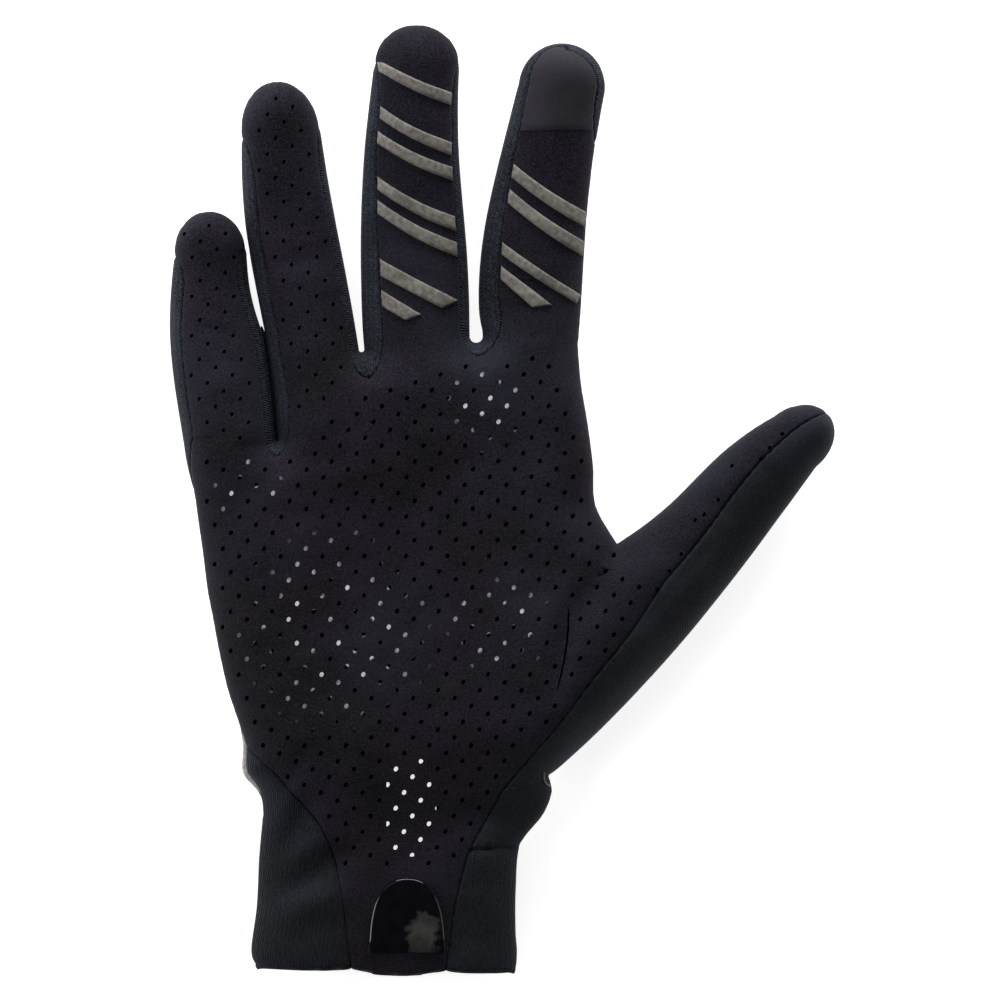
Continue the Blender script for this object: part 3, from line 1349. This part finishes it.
def fabric(name, dark, light, fineness, clouds, roughness, bump, rib=None,
           sheen=(0.0, (1, 1, 1, 1)), coat=0.0, cool=0.0):
    """A fabric: cloth tone for its colour, its bump from the tone or from ribs, and sheen for
    the nap that catches light at a flat angle."""
    material = bpy.data.materials.new(name)
    material.use_nodes = True
    tree = material.node_tree
    shader = tree.nodes["Principled BSDF"]
    places = tree.nodes.new("ShaderNodeTexCoord").outputs
    made = wire(tree, "Group", {}, node_tree=tone)
    looks = {
        "Fineness": fineness, "Clouds": clouds, "Cool": cool,
        "Dark": linear(*dark), "Light": linear(*light),
    }
    for socket, value in looks.items():
        made.inputs[socket].default_value = value
    tree.links.new(places["Object"], made.inputs["Place"])
    colour, height = made.outputs["Color"], made.outputs["Height"]
    if rib is not None:
        pitch, slant, loop, shade = rib
        lines = wire(tree, "Group", {}, node_tree=ribs)
        for socket, value in zip(("Pitch", "Slant", "Loop"), (pitch, slant, loop)):
            lines.inputs[socket].default_value = value
        tree.links.new(places["UV"], lines.inputs["UV"])
        nap = math_node(tree, "MULTIPLY", height, 0.4)
        height = math_node(tree, "ADD", lines.outputs["Height"], nap)
        depth = math_node(tree, "MULTIPLY", lines.outputs["Groove"], shade)
        colour = mix(tree, depth, colour, linear(*(0.35 * np.array(dark))))
    relief = wire(tree, "Bump", {"Height": height, "Strength": 0.6, "Distance": bump / 1000})
    tree.links.new(relief.outputs[0], shader.inputs["Normal"])
    tree.links.new(colour, shader.inputs["Base Color"])
    shader.inputs["Roughness"].default_value = roughness
    shader.inputs["Sheen Weight"].default_value, tint = sheen
    shader.inputs["Sheen Tint"].default_value = tint
    shader.inputs["Sheen Roughness"].default_value = 0.4
    shader.inputs["Coat Weight"].default_value = coat
    shader.inputs["Specular IOR Level"].default_value = 0.25
    return material


# %% Materials
suede = fabric(
    "suede", (1, 1, 3), (40, 35, 49), 2100, 45, 0.95, 0.3, sheen=(0.12, linear(150, 140, 175)), cool=1.0)
strip_knit = fabric(
    "strip_knit", (6, 8, 14), (58, 62, 76), 1500, 50, 0.9, 0.5, (0.62, 0.5, 1.1, 1.0),
    (0.12, linear(160, 170, 190)), cool=0.5)
cuff_knit = fabric(
    "cuff_knit", (3, 5, 9), (40, 44, 54), 1900, 40, 0.92, 0.25, (4.6, 8.0, 1.1, 0.7),
    (0.12, linear(150, 160, 180)), cool=0.5)
side_cloth = fabric(
    "side_cloth", (3, 4, 8), (40, 43, 54), 2300, 45, 0.85, 0.15, (0.6, 0.9, 0.7, 0.4),
    (0.12, linear(160, 165, 185)), cool=0.5)
back_mesh = fabric(
    "back_mesh", (170, 168, 165), (200, 198, 195), 900, 60, 0.9, 0.3, (1.5, 0.0, 1.5, 0.6))
touch_cloth = fabric("touch_cloth", (30, 29, 34), (45, 43, 51), 3000, 50, 0.8, 0.06)
silicone = fabric("silicone", (96, 93, 88), (136, 131, 124), 900, 90, 0.6, 0.08)
gloss = fabric("gloss_tab", (6, 6, 11), (13, 14, 20), 300, 30, 0.1, 0.01, coat=0.2)
light_edge = fabric("light_edge", (176, 173, 170), (222, 220, 218), 1500, 200, 0.95, 0.3)
thread = fabric("thread", (140, 140, 142), (190, 190, 192), 3000, 200, 0.8, 0.1)
back_lining = fabric("back_lining", (10, 10, 12), (24, 24, 27), 900, 60, 0.95, 0.2)

# %% Light that comes through the thin back, seen in some of the holes
# Place on the palm, radius in metres
light_spots = [
    ([-0.34, 0.67], 0.007), ([-0.13, 0.36], 0.019), ([0.23, 0.86], 0.009), ([0.27, 0.37], 0.01),
]
tree = back_lining.node_tree
object_place = tree.nodes.new("ShaderNodeTexCoord").outputs["Object"]
through_light = 0.0
for place, radius in light_spots:
    middle_of_spot = tuple((np.r_[on_palm([place])[0], 0.0] + shift) / 1000)
    away = wire(
        tree, "VectorMath", {0: object_place, 1: middle_of_spot}, operation="DISTANCE").outputs[1]
    spot = stretch(tree, away, 1.4 * radius, 0.6 * radius)
    through_light = math_node(tree, "MAXIMUM", spot, through_light)
patchy = stretch(tree, noise(tree, object_place, 260.0, 1.0), 0.48, 0.6)
shining = math_node(tree, "MULTIPLY", through_light, patchy)
glow = mix(tree, shining, (0, 0, 0, 1), (1, 1, 1, 1))
tree.links.new(glow, tree.nodes["Principled BSDF"].inputs["Emission Color"])
tree.nodes["Principled BSDF"].inputs["Emission Strength"].default_value = 0.5

# %% A dusty, cloudy patch low on the right of the glossy tab
tree = gloss.node_tree
shader = tree.nodes["Principled BSDF"]
object_place = tree.nodes.new("ShaderNodeTexCoord").outputs["Object"]
clouds = noise(tree, object_place, 420.0, 3.0)
dust_middle = tuple((np.r_[tab_foot + (4.0, 4.6), 0.0] + shift) / 1000)
from_dust = wire(tree, "VectorMath", {0: object_place, 1: dust_middle}, operation="SUBTRACT").outputs[0]
flat_part = wire(
    tree, "VectorMath", {0: from_dust, 1: (1.15, 0.85, 0.0)}, operation="MULTIPLY").outputs[0]
away = wire(tree, "VectorMath", {0: flat_part}, operation="LENGTH").outputs[1]
ragged = math_node(tree, "ADD", away, math_node(tree, "MULTIPLY", clouds, 0.007))
dusty = stretch(tree, ragged, 0.0087, 0.0072)
dust_tone = mix(tree, clouds, linear(20, 20, 20), linear(76, 76, 74))
clean_tone = shader.inputs["Base Color"].links[0].from_socket
tree.links.new(mix(tree, dusty, clean_tone, dust_tone), shader.inputs["Base Color"])

# %% Dress each piece, and say what it stands for
dressed = [
    (palm, suede, "suede", ["palm_panel"]),
    (back, back_mesh, "back_mesh", ["back_panel"]),
    (pinky_ring_strip, strip_knit, "ribbed_knit", ["fourchette_pinky_ring"]),
    (ring_middle_strip, strip_knit, "ribbed_knit", ["fourchette_ring_middle"]),
    (middle_index_strip, strip_knit, "ribbed_knit", ["fourchette_middle_index"]),
    (pinky_strip, strip_knit, "ribbed_knit", ["pinky_side_strip"]),
    (thumb_panel, side_cloth, "smooth_fabric", ["thumb_side_panel"]),
    (cuff_left, cuff_knit, "cuff_knit", ["cuff_left"]),
    (cuff_right, cuff_knit, "cuff_knit", ["cuff_right"]),
    (patch, touch_cloth, "touch_fabric", ["touch_patch"]),
    (tab, gloss, "gloss_tab", ["pull_tab"]),
    (thumb_stripe, silicone, "silicone", ["grip_stripe_thumb"]),
    (wrist_edge, light_edge, "back_mesh", []),
    (slit_fold, strip_knit, "ribbed_knit", []),
    (thread_loop, thread, "cuff_knit", []),
]
dressed += [(piece, silicone, "silicone", ["grip_" + piece.name]) for piece in stripes]
for piece, material, slot, nodes in dressed:
    if piece is back:
        piece.data.materials[0], piece.data.materials[1] = back_mesh, back_lining
    else:
        piece.data.materials.clear()
        piece.data.materials.append(material)
    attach(piece, "root")
    if nodes:
        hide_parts(*nodes)
print(len(dressed), "pieces dressed")

# %% [markdown]
# ## Floor, light and camera
# The photograph is a packshot: a white ground without a shadow, soft light from both sides and a
# weaker one from above. The ground glows a little, so that it stays white behind the glove.

# %% Stage
def stage_floor():
    """A square plate just under the glove."""
    half = 3.0
    mesh = bpy.data.meshes.new("floor")
    mesh.from_pydata(
        [(-half, -half, 0), (half, -half, 0), (half, half, 0), (-half, half, 0)], [], [(0, 1, 2, 3)])
    floor = bpy.data.objects.new("floor", mesh)
    bpy.context.scene.collection.objects.link(floor)
    material = bpy.data.materials.new("floor")
    material.use_nodes = True
    shader = material.node_tree.nodes["Principled BSDF"]
    shader.inputs["Base Color"].default_value = (0.85, 0.85, 0.85, 1)
    shader.inputs["Roughness"].default_value = 0.9
    shader.inputs["Specular IOR Level"].default_value = 0.1
    shader.inputs["Emission Color"].default_value = (1, 1, 1, 1)
    shader.inputs["Emission Strength"].default_value = 0.8
    mesh.materials.append(material)
    return floor


stage_floor()


def softbox(name, place, size, power):
    """A rectangular light that faces the glove."""
    lamp = bpy.data.lights.new(name, "AREA")
    lamp.shape, lamp.size, lamp.size_y, lamp.energy = "RECTANGLE", *size, power
    holder = bpy.data.objects.new(name, lamp)
    bpy.context.scene.collection.objects.link(holder)
    holder.location = place
    holder.rotation_euler = (Vector((0, 0, 0)) - holder.location).to_track_quat("-Z", "Y").to_euler()
    return holder


# Place, size in metres, power in watts
softbox("left softbox", (-1.1, 0.0, 0.42), (0.5, 1.4), 12)
softbox("right softbox", (1.1, 0.1, 0.42), (0.5, 1.4), 3)
softbox("far softbox", (0.1, 1.2, 0.33), (1.2, 0.5), 23)
softbox("top softbox", (-0.4, 0.6, 1.5), (0.7, 0.7), 1.5)
world = bpy.data.worlds.new("studio")
bpy.context.scene.world = world
world.use_nodes = True
world.node_tree.nodes["Background"].inputs[0].default_value = (1, 1, 1, 1)
world.node_tree.nodes["Background"].inputs[1].default_value = 0.07
bpy.context.scene.view_settings.view_transform = "Standard"

# %% Camera straight above, at the photograph's place
camera_height, frame_width, sensor = 1.6, 0.25, 36.0
lens = bpy.data.cameras.new("camera")
lens.sensor_width, lens.lens = sensor, sensor * camera_height / frame_width
camera = bpy.data.objects.new("camera", lens)
bpy.context.scene.collection.objects.link(camera)
photo_middle = (np.array([28.125, 118.5, edge_height]) + shift) / 1000
camera.location = photo_middle + (0, 0, camera_height)
bpy.context.scene.camera = camera
